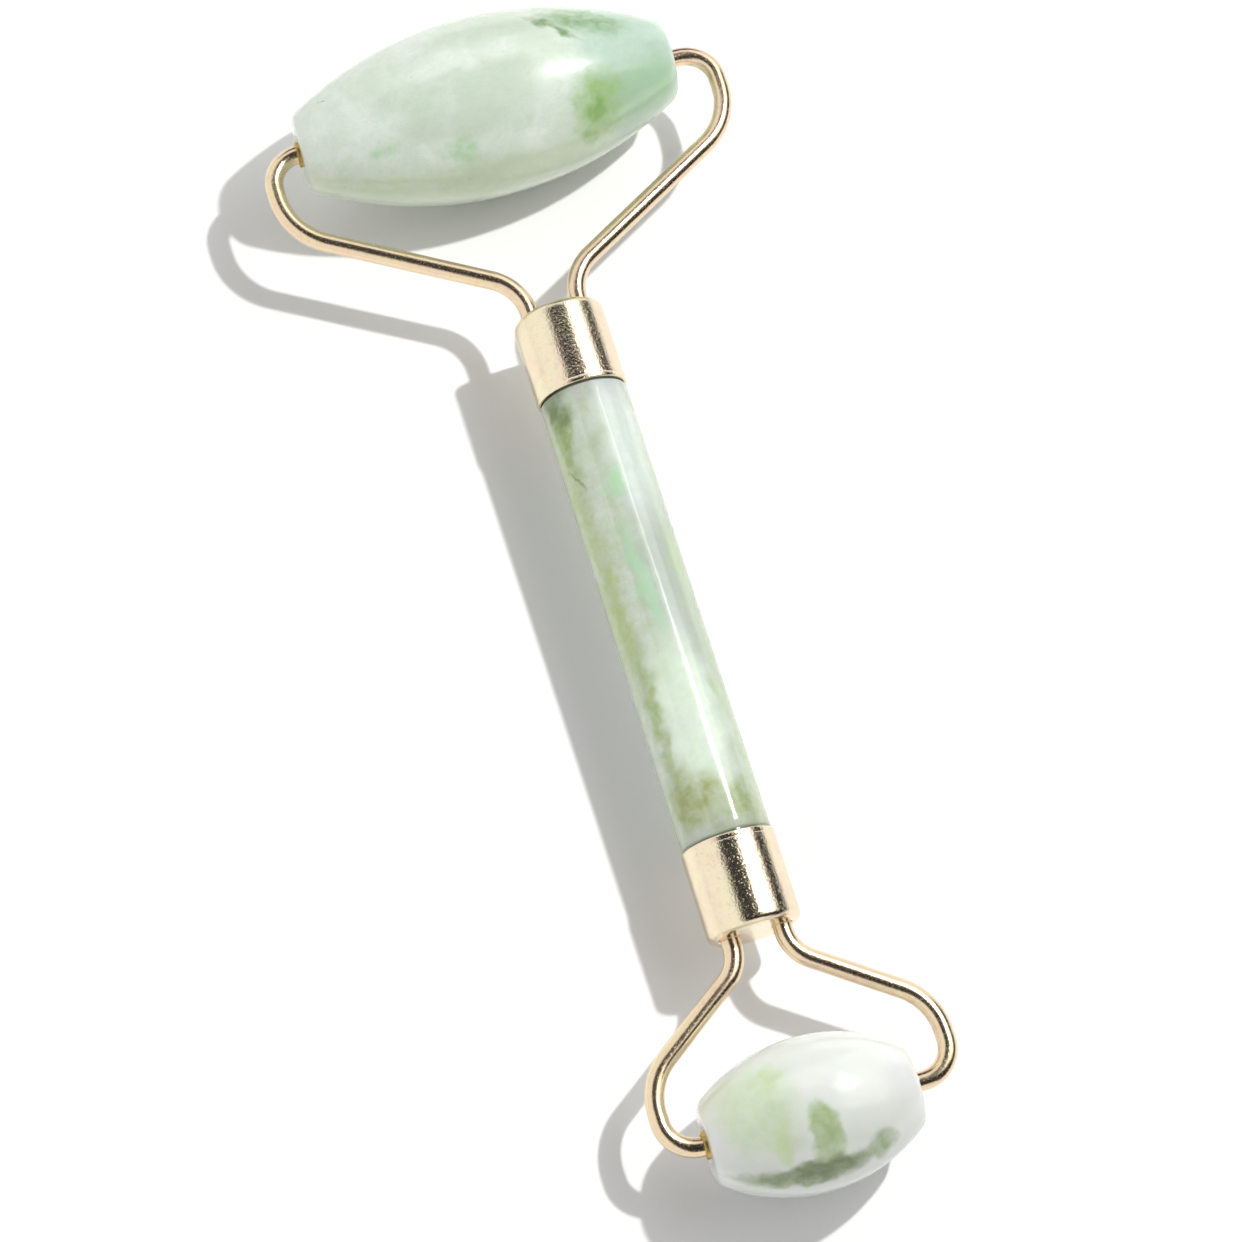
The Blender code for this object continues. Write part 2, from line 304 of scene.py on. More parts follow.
def size_of(node):
    low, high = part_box(node)
    return high - low


def local_box(node, matrix):
    """Lowest and highest corners of a CAD node in a local frame."""
    inverse = matrix.inverted()
    points = [inverse @ vertex.co for vertex in frame["nodes"][node].data.vertices]
    low = Vector([min(point[i] for point in points) for i in range(3)])
    high = Vector([max(point[i] for point in points) for i in range(3)])
    return low, high


large_axis = joint_place("large_roller_spin")
small_axis = joint_place("small_roller_spin")
handle_middle = middle_of("handle_stone")
along_handle = (large_axis - small_axis).normalized()
across_handle = Vector((1.0, 0.0, 0.0))
above_handle = across_handle.cross(along_handle)
ASSEMBLY = Matrix((across_handle, along_handle, above_handle)).transposed().to_4x4()
ASSEMBLY.translation = handle_middle

LARGE_STONE = Matrix.Translation(middle_of("large_roller_stone"))
SMALL_STONE = Matrix.Translation(middle_of("small_roller_stone"))


# =====================================================================================
# Shapes
# =====================================================================================

def barrel_profile(length, radius, end_radius):
    """The arc of a barrel's side: its radius, and how far its centre lies above the axis."""
    half = length / 2
    rise = radius - end_radius
    arc_radius = (half ** 2 + rise ** 2) / (2 * rise)
    return arc_radius, radius - arc_radius


def barrel_outline(length, radius, end_radius, rings):
    half = length / 2
    arc_radius, arc_centre = barrel_profile(length, radius, end_radius)
    edge_x = half - STONE_EDGE
    edge_y = arc_centre + math.sqrt((arc_radius - STONE_EDGE) ** 2 - edge_x ** 2)
    meet = math.atan2(edge_y - arc_centre, edge_x)
    mouth = STONE_BORE_RADIUS + BORE_CHAMFER
    right_face = run((half, mouth), (half, edge_y), STONE_FACE_RINGS)
    left_face = run((-half, edge_y), (-half, mouth), STONE_FACE_RINGS)
    outline = right_face + arc((edge_x, edge_y), STONE_EDGE, 0.0, meet, EDGE_STEP)
    outline += arc((0.0, arc_centre), arc_radius, meet, math.pi - meet, (math.pi - 2 * meet) / rings)[1:]
    outline += arc((-edge_x, edge_y), STONE_EDGE, math.pi - meet, math.pi, EDGE_STEP)[1:] + left_face
    outline += [
        (-half, mouth),
        (-half + BORE_CHAMFER, STONE_BORE_RADIUS),
        (half - BORE_CHAMFER, STONE_BORE_RADIUS),
        (half, mouth),
    ]
    return outline


def hand_ground(depth, wavelength, seed):
    """Shallow hollows of a stone that was ground and polished by hand, always inwards."""
    def relief(along, turn, radius):
        if radius < STONE_BORE_RADIUS * 2:
            return 0.0
        place = Vector((along, radius * math.cos(turn), radius * math.sin(turn))) / wavelength
        value = noise.noise(place + Vector((seed, 0.0, 0.0)), noise_basis="PERLIN_ORIGINAL")
        value += 0.35 * noise.noise(place * 2.3 + Vector((0.0, seed, 0.0)), noise_basis="PERLIN_ORIGINAL")
        return -depth * min(1.0, max(0.0, 0.5 + 0.5 * value))
    return relief


def make_stone(name, node, matrix, end_radius, rings, seed):
    size = size_of(node)
    outline = barrel_outline(size.x, size.y / 2, end_radius, rings)
    relief = hand_ground(STONE_HOLLOWS, STONE_HOLLOWS_ACROSS, seed)
    return turned(name, outline, "X", STONE_SEGMENTS, matrix, closed=True, relief=relief)


def make_bush(name, node, matrix):
    low, high = local_box(node, matrix)
    radius = (high.y - low.y) / 2
    ends = []
    for end, inward in ((high.x, -1), (low.x, 1)):
        ends.append([
            (end + inward * BUSH_EDGE, BUSH_BORE_RADIUS),
            (end, BUSH_BORE_RADIUS + BUSH_EDGE),
            (end, radius - BUSH_EDGE),
            (end + inward * BUSH_EDGE * 0.4, radius - BUSH_EDGE * 0.3),
            (end + inward * BUSH_EDGE, radius),
        ])
    outline = ends[0] + ends[1][::-1]
    return turned(name, outline, "X", BUSH_SEGMENTS, matrix, closed=True)


def make_handle():
    """The handle rod with its two spigots, slightly uneven from polishing."""
    low, high = local_box("handle_stone", ASSEMBLY)
    radius = (high.x - low.x) / 2
    end_y = high.y
    shoulder_y = end_y - SPIGOT_LENGTH
    edge = HANDLE_EDGE / 2
    half = [
        (end_y, 0.0),
        (end_y, SPIGOT_RADIUS - HANDLE_EDGE),
        (end_y - HANDLE_EDGE, SPIGOT_RADIUS),
        (shoulder_y, SPIGOT_RADIUS),
        (shoulder_y, radius - edge),
        (shoulder_y - edge * 0.3, radius - edge * 0.3),
        (shoulder_y - edge, radius),
    ]
    wall = run((shoulder_y - edge, radius), (edge - shoulder_y, radius), HANDLE_RINGS)
    outline = half + wall + [(-y, reach) for y, reach in reversed(half)]

    def relief(along, turn, reach):
        if abs(along) > shoulder_y:
            return 0.0
        place = Vector((math.cos(turn) * 5, along / (9 * MM), math.sin(turn) * 5)) * 0.35
        return -0.03 * MM * (0.5 + 0.5 * noise.noise(place, noise_basis="PERLIN_ORIGINAL"))

    return turned("handle_jade_rod", outline, "Y", ROD_SEGMENTS, ASSEMBLY, closed=False, relief=relief)


def make_ferrule(name, node, facing, dent=None):
    """A drawn cap with a rounded closed end, a faint lip line near its mouth and two wire holes."""
    low, high = local_box(node, ASSEMBLY)
    radius = (high.x - low.x) / 2
    mouth_y, closed_y = sorted((abs(low.y), abs(high.y)))
    bore = radius - FERRULE_WALL
    cavity_y = closed_y - FERRULE_END_WALL
    corner_y = closed_y - FERRULE_CORNER
    corner_radius = radius - FERRULE_CORNER
    inner_corner = FERRULE_CORNER - FERRULE_WALL
    lip_y = mouth_y + LIP_FROM_MOUTH
    rings = [0.25, 0.5, 0.75]
    outline = [(closed_y, 0.0)]
    outline += [(closed_y, corner_radius * share) for share in rings]
    outline += arc((corner_y, corner_radius), FERRULE_CORNER, 0.0, math.pi / 2, EDGE_STEP)
    outline += run((corner_y, radius), (lip_y + LIP_HALF_WIDTH, radius), CAP_RINGS)
    outline += [
        (lip_y + LIP_HALF_WIDTH, radius),
        (lip_y + LIP_HALF_WIDTH * 0.4, radius - LIP_DEPTH),
        (lip_y - LIP_HALF_WIDTH * 0.4, radius - LIP_DEPTH),
        (lip_y - LIP_HALF_WIDTH, radius),
        (mouth_y + MOUTH_EDGE * 2, radius),
        (mouth_y + MOUTH_EDGE, radius - MOUTH_EDGE * 0.15),
        (mouth_y + MOUTH_EDGE * 0.3, radius - MOUTH_EDGE * 0.6),
        (mouth_y, radius - MOUTH_EDGE * 1.4),
        (mouth_y, bore + MOUTH_EDGE * 0.5),
        (mouth_y + MOUTH_EDGE * 0.5, bore),
    ]
    bore_start = (mouth_y + MOUTH_EDGE * 0.5, bore)
    outline += run(bore_start, (cavity_y - inner_corner, bore), CAP_BORE_RINGS)
    inner_centre = (cavity_y - inner_corner, bore - inner_corner)
    outline += arc(inner_centre, inner_corner, math.pi / 2, 0.0, 2 * EDGE_STEP)
    outline += [(cavity_y, 0.0)]

    def relief(along, turn, reach):
        if reach < bore + 0.02 * MM:
            return 0.0
        place = Vector((math.cos(turn), facing * along / (5 * MM), math.sin(turn))) * 1.3
        value = -0.012 * MM * (0.5 + 0.5 * noise.noise(place, noise_basis="PERLIN_ORIGINAL"))
        if dent is not None:
            away_y = along - (mouth_y + dent["from_mouth"])
            away_turn = (turn - dent["turn"]) * radius
            away = math.hypot(away_y, away_turn) / dent["size"]
            value -= dent["depth"] * math.exp(-away * away)
        return value

    outline = [(facing * along, reach) for along, reach in outline]
    cap = turned(name, outline, "Y", ROD_SEGMENTS, ASSEMBLY, closed=False,
                 relief=lambda along, turn, reach: relief(abs(along), turn, reach))
    hole = WIRE_RADIUS + WIRE_HOLE_GAP
    cutters = []
    for side in (-1, 1):
        bore_outline = [
            (facing * (closed_y + HOLE_FLARE), 0.0),
            (facing * (closed_y + HOLE_FLARE), hole + 2 * HOLE_FLARE),
            (facing * (closed_y - HOLE_FLARE), hole),
            (facing * (cavity_y - HOLE_FLARE), hole),
            (facing * (cavity_y - HOLE_FLARE), 0.0),
        ]
        place = ASSEMBLY @ Matrix.Translation((side * LEG_HALF_SPACING, 0.0, 0.0))
        cutters.append(turned("wire_hole", bore_outline, "Y", HOLE_SEGMENTS, place, closed=False))
    cut_away(cap, cutters)
    return cap


def arm_path(fork, axis_y, stone_half):
    """Centre line of a right arm, from where it leaves the cap to the tip of its pin."""
    slope = fork["slope"]
    neck = fork["neck_radius"]
    shoulder = fork["shoulder_radius"]
    shoulder_centre = (fork["half_width"] - shoulder, axis_y - fork["widest_below_axis"])
    foot_x = shoulder_centre[0] + shoulder * math.sin(slope)
    foot_y = shoulder_centre[1] - shoulder * math.cos(slope)
    run_to_neck = neck * (1 - math.sin(slope))
    top_of_neck_y = foot_y - (foot_x - LEG_HALF_SPACING - run_to_neck) * math.tan(slope)
    neck_centre = (LEG_HALF_SPACING + neck, top_of_neck_y - neck * math.cos(slope))
    outer_centre = (fork["half_width"] - OUTER_BEND_RADIUS, axis_y - OUTER_BEND_RADIUS)
    pin_tip_x = stone_half - PIN_ENGAGEMENT
    path = arc(neck_centre, neck, math.pi, math.pi / 2 + slope)
    path += arc(shoulder_centre, shoulder, slope - math.pi / 2, 0.0)
    path += arc(outer_centre, OUTER_BEND_RADIUS, 0.0, math.pi / 2)
    path += [(pin_tip_x + WIRE_TIP_CHAMFER, axis_y), (pin_tip_x, axis_y)]
    return path


def make_fork(name, size, axis, stone_node, ferrule_node):
    """A bent wire fork: pins, arms and the U bend that is cemented inside the cap."""
    fork = FORKS[size]
    axis_y = abs((ASSEMBLY.inverted() @ axis).y)
    low, high = local_box(ferrule_node, ASSEMBLY)
    closed_y = max(abs(low.y), abs(high.y))
    right = arm_path(fork, axis_y, size_of(stone_node).x / 2)
    left = [(-x, y) for x, y in reversed(right)]
    hidden = arc((0.0, closed_y - HIDDEN_LEG), LEG_HALF_SPACING, math.pi, 2 * math.pi)
    path = [(x, fork["facing"] * y) for x, y in left + hidden + right]
    return swept(name, path, WIRE_RADIUS, ASSEMBLY, WIRE_TIP_CHAMFER)


# =====================================================================================
# Materials
# =====================================================================================

class Finish:
    """A node material, built by small calls. Object coordinates are given in millimetres."""

    def __init__(self, name):
        self.material = bpy.data.materials.new(name)
        self.material.use_nodes = True
        self.nodes = self.material.node_tree.nodes
        self.links = self.material.node_tree.links
        self.shader = self.nodes["Principled BSDF"]
        coordinates = self.nodes.new("ShaderNodeTexCoord")
        self.place = self.vector("SCALE", coordinates.outputs["Object"], scale=1 / MM)
        split = self.nodes.new("ShaderNodeSeparateXYZ")
        self.links.new(self.place, split.inputs[0])
        self.x, self.y, self.z = split.outputs

    def feed(self, socket, value):
        if isinstance(value, bpy.types.NodeSocket):
            self.links.new(value, socket)
        else:
            socket.default_value = value

    def math(self, operation, one, two=0.0, three=None):
        node = self.nodes.new("ShaderNodeMath")
        node.operation = operation
        for socket, value in zip(node.inputs, (one, two, three)):
            if value is not None:
                self.feed(socket, value)
        return node.outputs[0]

    def vector(self, operation, one, two=None, scale=None):
        node = self.nodes.new("ShaderNodeVectorMath")
        node.operation = operation
        self.feed(node.inputs[0], one)
        if two is not None:
            self.feed(node.inputs[1], two)
        if scale is not None:
            self.feed(node.inputs["Scale"], scale)
        return node.outputs["Value"] if operation in ("LENGTH", "DISTANCE") else node.outputs["Vector"]

    def combine(self, x, y, z):
        node = self.nodes.new("ShaderNodeCombineXYZ")
        for socket, value in zip(node.inputs, (x, y, z)):
            self.feed(socket, value)
        return node.outputs[0]

    def noise(self, scale, detail=2.0, roughness=0.5, distortion=0.0, place=None, offset=0.0):
        """Soft noise of about 0 to 1, with scale in cells for each millimetre."""
        node = self.nodes.new("ShaderNodeTexNoise")
        where = self.place if place is None else place
        if offset:
            where = self.vector("ADD", where, (offset, offset * 0.7, -offset))
        self.feed(node.inputs["Vector"], where)
        node.inputs["Scale"].default_value = scale
        node.inputs["Detail"].default_value = detail
        node.inputs["Roughness"].default_value = roughness
        node.inputs["Distortion"].default_value = distortion
        return node.outputs["Fac"]

    def cells(self, scale):
        """Distance to the nearest of a scatter of points, with scale in points for each millimetre."""
        node = self.nodes.new("ShaderNodeTexVoronoi")
        self.feed(node.inputs["Vector"], self.place)
        node.inputs["Scale"].default_value = scale
        return node.outputs["Distance"]

    def rise(self, value, low, high):
        """0 below low, 1 above high, smooth between. With low above high it falls instead."""
        node = self.nodes.new("ShaderNodeMapRange")
        node.interpolation_type = "SMOOTHSTEP"
        self.feed(node.inputs["Value"], value)
        flip = low > high
        node.inputs["From Min"].default_value = high if flip else low
        node.inputs["From Max"].default_value = low if flip else high
        node.inputs["To Min"].default_value = 1.0 if flip else 0.0
        node.inputs["To Max"].default_value = 0.0 if flip else 1.0
        return node.outputs["Result"]

    def mix(self, share, one, two, blend="MIX"):
        node = self.nodes.new("ShaderNodeMix")
        node.data_type = "RGBA"
        node.blend_type = blend
        self.feed(node.inputs[0], share)
        self.feed(node.inputs[6], one)
        self.feed(node.inputs[7], two)
        return node.outputs[2]

    def times(self, one, two):
        return self.math("MULTIPLY", one, two)

    def bump(self, height, distance, strength=1.0, normal=None):
        node = self.nodes.new("ShaderNodeBump")
        node.inputs["Strength"].default_value = strength
        node.inputs["Distance"].default_value = distance
        self.links.new(height, node.inputs["Height"])
        if normal is not None:
            self.links.new(normal, node.inputs["Normal"])
        return node.outputs["Normal"]

    def patch(self, along, turn, colour_patch):
        """A patch of colour on the unrolled surface, used for stained patches and for bands of painted
        shade and sheen: 1 at its middle, 0 outside, with a soft edge.

        along and turn are the surface's coordinates, in millimetres and in degrees from the top.
        """
        lean = math.radians(colour_patch.get("lean", 0.0))
        away_along = self.math("SUBTRACT", along, colour_patch["along"])
        away_turn = self.math("SUBTRACT", turn, colour_patch["turn"])
        away_turn = self.times(away_turn, math.radians(1) * colour_patch["radius"])
        cosine, sine = math.cos(lean), math.sin(lean)
        one = self.math("ADD", self.times(away_along, cosine), self.times(away_turn, sine))
        two = self.math("SUBTRACT", self.times(away_turn, cosine), self.times(away_along, sine))
        one = self.math("DIVIDE", one, colour_patch["half_along"])
        two = self.math("DIVIDE", two, colour_patch["half_turn"])
        far = self.math("ADD", self.times(one, one), self.times(two, two))
        far = self.math("SQRT", far)
        edge = colour_patch["edge"]
        return self.times(self.rise(far, 1.0 + edge, 1.0 - edge), colour_patch["weight"])


def finish_jade(finish, colour, roughness, height_fine, height_wide):
    """Shared polish of the three jade pieces: translucent body, glossy skin, faint ripples."""
    shader = finish.shader
    finish.links.new(colour, shader.inputs["Base Color"])
    finish.links.new(roughness, shader.inputs["Roughness"])
    shader.inputs["IOR"].default_value = JADE_IOR
    shader.inputs["Subsurface Weight"].default_value = 1.0
    shader.inputs["Subsurface Radius"].default_value = JADE_SCATTER
    shader.inputs["Subsurface Scale"].default_value = JADE_SCATTER_DEPTH
    wide = finish.bump(height_wide, 0.05 * MM, 0.35)
    finish.links.new(finish.bump(height_fine, 0.004 * MM, 0.5, wide), shader.inputs["Normal"])


def jade(name, axis, radius, body, stains_and_painted_light, seed):
    """A jade finish: a milky body with clouds, wisps, grain and flecks, its own stained patches, and on two
    of the pieces some bands of painted shade and sheen.

    axis is the piece's long axis. body gives the colours of the plain stone, and for the handle also the
    colour of the painted shade at the caps' mouths.
    Each noise has its own offset from seed, so that no two of them line up.
    """
    finish = Finish(name)
    along, across = (finish.x, finish.y) if axis == "X" else (finish.y, finish.x)
    warp_one = finish.math("SUBTRACT", finish.noise(0.4, 2.5, 0.5, offset=seed), 0.5)
    warp_two = finish.math("SUBTRACT", finish.noise(0.4, 2.5, 0.5, offset=seed + 31), 0.5)
    # turn is 0 along the top, and grows towards the side that faces -Y on a stone, -X on the handle
    turn = finish.math("ARCTAN2", finish.times(across, -1.0), finish.z)
    turn = finish.times(turn, 180 / math.pi)
    loose_along = finish.math("ADD", along, finish.times(warp_one, body["stray"]))
    stray_turn = body["stray"] / radius * DEGREES_IN_A_RADIAN
    loose_turn = finish.math("ADD", turn, finish.times(warp_two, stray_turn))

    clouds = finish.rise(finish.noise(0.11, 3.0, 0.55, 0.6, offset=seed + 5), 0.38, 0.66)
    haze = finish.rise(finish.noise(0.3, 3.0, 0.5, 0.6, offset=seed + 11), 0.34, 0.72)
    mottle = finish.rise(finish.noise(0.8, 3.5, 0.55, 0.3, offset=seed + 17), 0.32, 0.7)
    grain = finish.noise(4.5, 3.0, 0.6, offset=seed + 23)
    stretch = (0.5, 1.0, 1.0) if axis == "X" else (1.0, 0.6, 1.0)
    long_place = finish.vector("MULTIPLY", finish.place, stretch)
    wisp = finish.noise(0.55, 6.0, 0.62, 1.4, place=long_place, offset=seed + 3)
    wisp = finish.math("ABSOLUTE", finish.math("SUBTRACT", wisp, 0.5))
    wisp = finish.rise(wisp, 0.035, 0.0)

    colour = finish.mix(clouds, body["base"], body["milky"])
    colour = finish.mix(finish.times(haze, body["haze"]), colour, body["tint"])
    colour = finish.mix(finish.times(wisp, body["wisp"]), colour, body["vein"])
    colour = finish.mix(finish.times(mottle, body["blotch"]), colour, body["vein"])
    for colour_patch in stains_and_painted_light:
        share = finish.patch(loose_along, loose_turn, dict(colour_patch, radius=radius))
        broken = finish.math("MULTIPLY_ADD", mottle, colour_patch["mottle"], 1.0 - colour_patch["mottle"])
        share = finish.times(share, broken)
        colour = finish.mix(share, colour, colour_patch["colour"])
    shade = finish.math("MULTIPLY_ADD", grain, body["grain"], 1.0 - body["grain"] / 2)
    tone = finish.combine(shade, shade, shade)
    colour = finish.mix(1.0, colour, tone, "MULTIPLY")
    flecks = finish.rise(finish.cells(0.42), 0.055, 0.03)
    flecks = finish.times(flecks, finish.rise(finish.noise(0.2, offset=seed + 41), 0.5, 0.62))
    colour = finish.mix(finish.times(flecks, 0.5), colour, body["fleck"])

    # Painted shade: a dark olive band on the handle just beside each cap's mouth, for the shade in the
    # narrow gap under the cap's edge
    if "mouth_shade_at" in body:
        from_mouth_shade = finish.math("SUBTRACT", body["mouth_shade_at"], finish.math("ABSOLUTE", along))
        mouth_shade = finish.rise(from_mouth_shade, 0.42, 0.06)
        colour = finish.mix(finish.times(mouth_shade, 0.8), colour, body["mouth_shade"])

    smears = finish.noise(0.7, 5.0, 0.7, 1.0, offset=seed + 47)
    roughness = finish.math("MULTIPLY_ADD", smears, 0.10, body["gloss"])
    finish_jade(finish, colour, roughness, grain, finish.noise(0.5, 2.0, 0.5, offset=seed + 53))
    return finish.material


PALE_BODY = {
    "base": jade_colour(204, 215, 203), "milky": jade_colour(219, 227, 220),
    "tint": jade_colour(195, 208, 193), "vein": jade_colour(178, 200, 172),
    "fleck": jade_colour(120, 128, 110), "haze": 0.4, "wisp": 0.22, "blotch": 0.12, "grain": 0.06,
    "stray": 5.0, "gloss": 0.11,
}
LARGE_STAINS_AND_SHADE = [
    {"along": 19.0, "turn": 15.0, "half_along": 7.5, "half_turn": 14.0, "edge": 0.5,
     "weight": 0.85, "mottle": 0.2, "colour": jade_colour(166, 192, 178)},
    {"along": 18.0, "turn": 46.0, "half_along": 4.5, "half_turn": 5.5, "edge": 0.6,
     "weight": 0.8, "mottle": 0.3, "colour": jade_colour(166, 196, 163)},
    {"along": 12.8, "turn": -27.0, "half_along": 4.6, "half_turn": 2.8, "edge": 0.5, "lean": 25.0,
     "weight": 0.8, "mottle": 0.45, "colour": jade_colour(128, 162, 114)},
    {"along": 9.3, "turn": -17.0, "half_along": 3.4, "half_turn": 0.7, "edge": 0.6, "lean": 48.0,
     "weight": 0.85, "mottle": 0.5, "colour": jade_colour(98, 136, 72)},
    {"along": 11.8, "turn": 49.0, "half_along": 2.9, "half_turn": 5.0, "edge": 0.45,
     "weight": 0.95, "mottle": 0.35, "colour": jade_colour(156, 188, 126)},
    {"along": 11.6, "turn": 52.0, "half_along": 1.2, "half_turn": 2.0, "edge": 0.7,
     "weight": 0.8, "mottle": 0.3, "colour": jade_colour(132, 170, 96)},
    {"along": -14.6, "turn": 39.0, "half_along": 1.5, "half_turn": 1.0, "edge": 0.7,
     "weight": 0.8, "mottle": 0.5, "colour": jade_colour(172, 202, 166)},
    {"along": -5.2, "turn": 52.0, "half_along": 1.7, "half_turn": 1.3, "edge": 0.7,
     "weight": 0.85, "mottle": 0.5, "colour": jade_colour(168, 200, 162)},
    # Painted shade: a faint olive band along the lower side that faces -Y, for the shaded floor seen in and
    # through the stone
    {"along": -6.0, "turn": 78.0, "half_along": 15.0, "half_turn": 3.4, "edge": 0.5,
     "weight": 0.55, "mottle": 0.3, "colour": jade_colour(194, 209, 178)},
    {"along": -18.6, "turn": -26.0, "half_along": 0.45, "half_turn": 0.12, "edge": 0.6, "lean": 30.0,
     "weight": 0.8, "mottle": 0.0, "colour": jade_colour(96, 104, 90)},
]

WHITE_BODY = {
    "base": jade_colour(214, 217, 214), "milky": jade_colour(217, 219, 219),
    "tint": jade_colour(206, 213, 206), "vein": jade_colour(208, 218, 202),
    "fleck": jade_colour(165, 171, 160), "haze": 0.35, "wisp": 0.15, "blotch": 0.04, "grain": 0.04,
    "stray": 2.6, "gloss": 0.08,
}
SMALL_STAINS = [
    {"along": -6.4, "turn": -8.0, "half_along": 4.0, "half_turn": 5.6, "edge": 0.45,
     "weight": 0.8, "mottle": 0.3, "colour": jade_colour(184, 202, 168)},
    {"along": -3.9, "turn": -30.0, "half_along": 1.0, "half_turn": 1.6, "edge": 0.6,
     "weight": 0.7, "mottle": 0.4, "colour": jade_colour(184, 202, 152)},
    {"along": -9.5, "turn": -40.0, "half_along": 2.2, "half_turn": 4.0, "edge": 0.6,
     "weight": 0.6, "mottle": 0.3, "colour": jade_colour(192, 200, 170)},
    {"along": -4.6, "turn": 27.0, "half_along": 0.7, "half_turn": 2.4, "edge": 0.6,
     "weight": 0.8, "mottle": 0.4, "colour": jade_colour(192, 208, 164)},
    {"along": -0.2, "turn": 26.0, "half_along": 1.6, "half_turn": 3.9, "edge": 0.28,
     "weight": 0.95, "mottle": 0.35, "colour": jade_colour(162, 181, 136)},
    {"along": -2.5, "turn": 57.0, "half_along": 7.2, "half_turn": 1.6, "edge": 0.4, "lean": -3.0,
     "weight": 0.95, "mottle": 0.25, "colour": jade_colour(126, 144, 100)},
    {"along": -0.5, "turn": 53.0, "half_along": 4.0, "half_turn": 1.0, "edge": 0.6,
     "weight": 0.8, "mottle": 0.4, "colour": jade_colour(108, 126, 84)},
    {"along": 5.9, "turn": 52.0, "half_along": 1.5, "half_turn": 1.9, "edge": 0.45,
     "weight": 0.9, "mottle": 0.4, "colour": jade_colour(142, 162, 118)},
]

GREEN_BODY_AND_SHADE = {
    "base": jade_colour(187, 195, 182), "milky": jade_colour(201, 206, 204),
    "tint": jade_colour(176, 190, 163), "vein": jade_colour(160, 178, 140),
    "fleck": jade_colour(116, 124, 92), "haze": 0.5, "wisp": 0.22, "blotch": 0.28, "grain": 0.08,
    "stray": 3.4, "gloss": 0.045,
    # Painted shade at the caps' mouths: its colour, and how far from the handle's middle the mouths lie
    "mouth_shade": jade_colour(84, 82, 56), "mouth_shade_at": CAP_MOUTH_AT,
}
HANDLE_STAINS_AND_SHEEN = [
    {"along": 9.0, "turn": 62.0, "half_along": 17.0, "half_turn": 2.0, "edge": 0.6,
     "weight": 0.8, "mottle": 0.65, "colour": jade_colour(175, 187, 136)},
    # Painted sheen and shade: a wide grey band down the lit +X side, for the pale reflection of the room on
    # it and to darken that side
    {"along": 2.0, "turn": -36.0, "half_along": 25.0, "half_turn": 3.2, "edge": 0.5,
     "weight": 0.85, "mottle": 0.35, "colour": jade_colour(176, 183, 181)},
    {"along": -2.0, "turn": -58.0, "half_along": 22.0, "half_turn": 1.6, "edge": 0.7,
     "weight": 0.6, "mottle": 0.6, "colour": jade_colour(172, 188, 154)},
    {"along": -14.0, "turn": 0.0, "half_along": 9.5, "half_turn": 3.6, "edge": 0.45,
     "weight": 0.85, "mottle": 0.25, "colour": jade_colour(216, 228, 216)},
    {"along": 20.0, "turn": -28.0, "half_along": 9.0, "half_turn": 2.6, "edge": 0.5,
     "weight": 0.7, "mottle": 0.3, "colour": jade_colour(213, 224, 220)},
    {"along": 22.8, "turn": 52.0, "half_along": 4.6, "half_turn": 1.3, "edge": 0.5, "lean": 4.0,
     "weight": 0.95, "mottle": 0.45, "colour": jade_colour(142, 164, 98)},
    {"along": 25.6, "turn": 50.0, "half_along": 2.0, "half_turn": 1.8, "edge": 0.6,
     "weight": 0.95, "mottle": 0.3, "colour": jade_colour(102, 124, 70)},
    {"along": 16.6, "turn": 52.0, "half_along": 1.4, "half_turn": 0.28, "edge": 0.6, "lean": 35.0,
     "weight": 0.75, "mottle": 0.3, "colour": jade_colour(128, 136, 92)},
    {"along": 14.6, "turn": 2.0, "half_along": 1.9, "half_turn": 1.0, "edge": 0.7,
     "weight": 0.85, "mottle": 0.4, "colour": jade_colour(172, 208, 172)},
    {"along": 3.0, "turn": 6.0, "half_along": 5.8, "half_turn": 0.9, "edge": 0.6, "lean": 4.0,
     "weight": 0.85, "mottle": 0.4, "colour": jade_colour(172, 206, 178)},
    {"along": -0.5, "turn": 54.0, "half_along": 5.5, "half_turn": 0.8, "edge": 0.6, "lean": -5.0,
     "weight": 0.8, "mottle": 0.5, "colour": jade_colour(172, 186, 126)},
    {"along": -13.0, "turn": 47.0, "half_along": 8.0, "half_turn": 0.9, "edge": 0.6, "lean": -3.0,
     "weight": 0.9, "mottle": 0.45, "colour": jade_colour(160, 178, 122)},
    {"along": -23.0, "turn": 32.0, "half_along": 3.0, "half_turn": 3.2, "edge": 0.5,
     "weight": 0.9, "mottle": 0.5, "colour": jade_colour(152, 158, 98)},
    {"along": -25.0, "turn": -30.0, "half_along": 2.6, "half_turn": 2.2, "edge": 0.6,
     "weight": 0.8, "mottle": 0.45, "colour": jade_colour(146, 162, 108)},
    {"along": 4.5, "turn": -46.0, "half_along": 3.4, "half_turn": 0.7, "edge": 0.7, "lean": 8.0,
     "weight": 0.8, "mottle": 0.5, "colour": jade_colour(178, 196, 160)},
    {"along": -11.7, "turn": -45.0, "half_along": 2.0, "half_turn": 0.6, "edge": 0.7, "lean": 20.0,
     "weight": 0.75, "mottle": 0.5, "colour": jade_colour(172, 190, 156)},
]


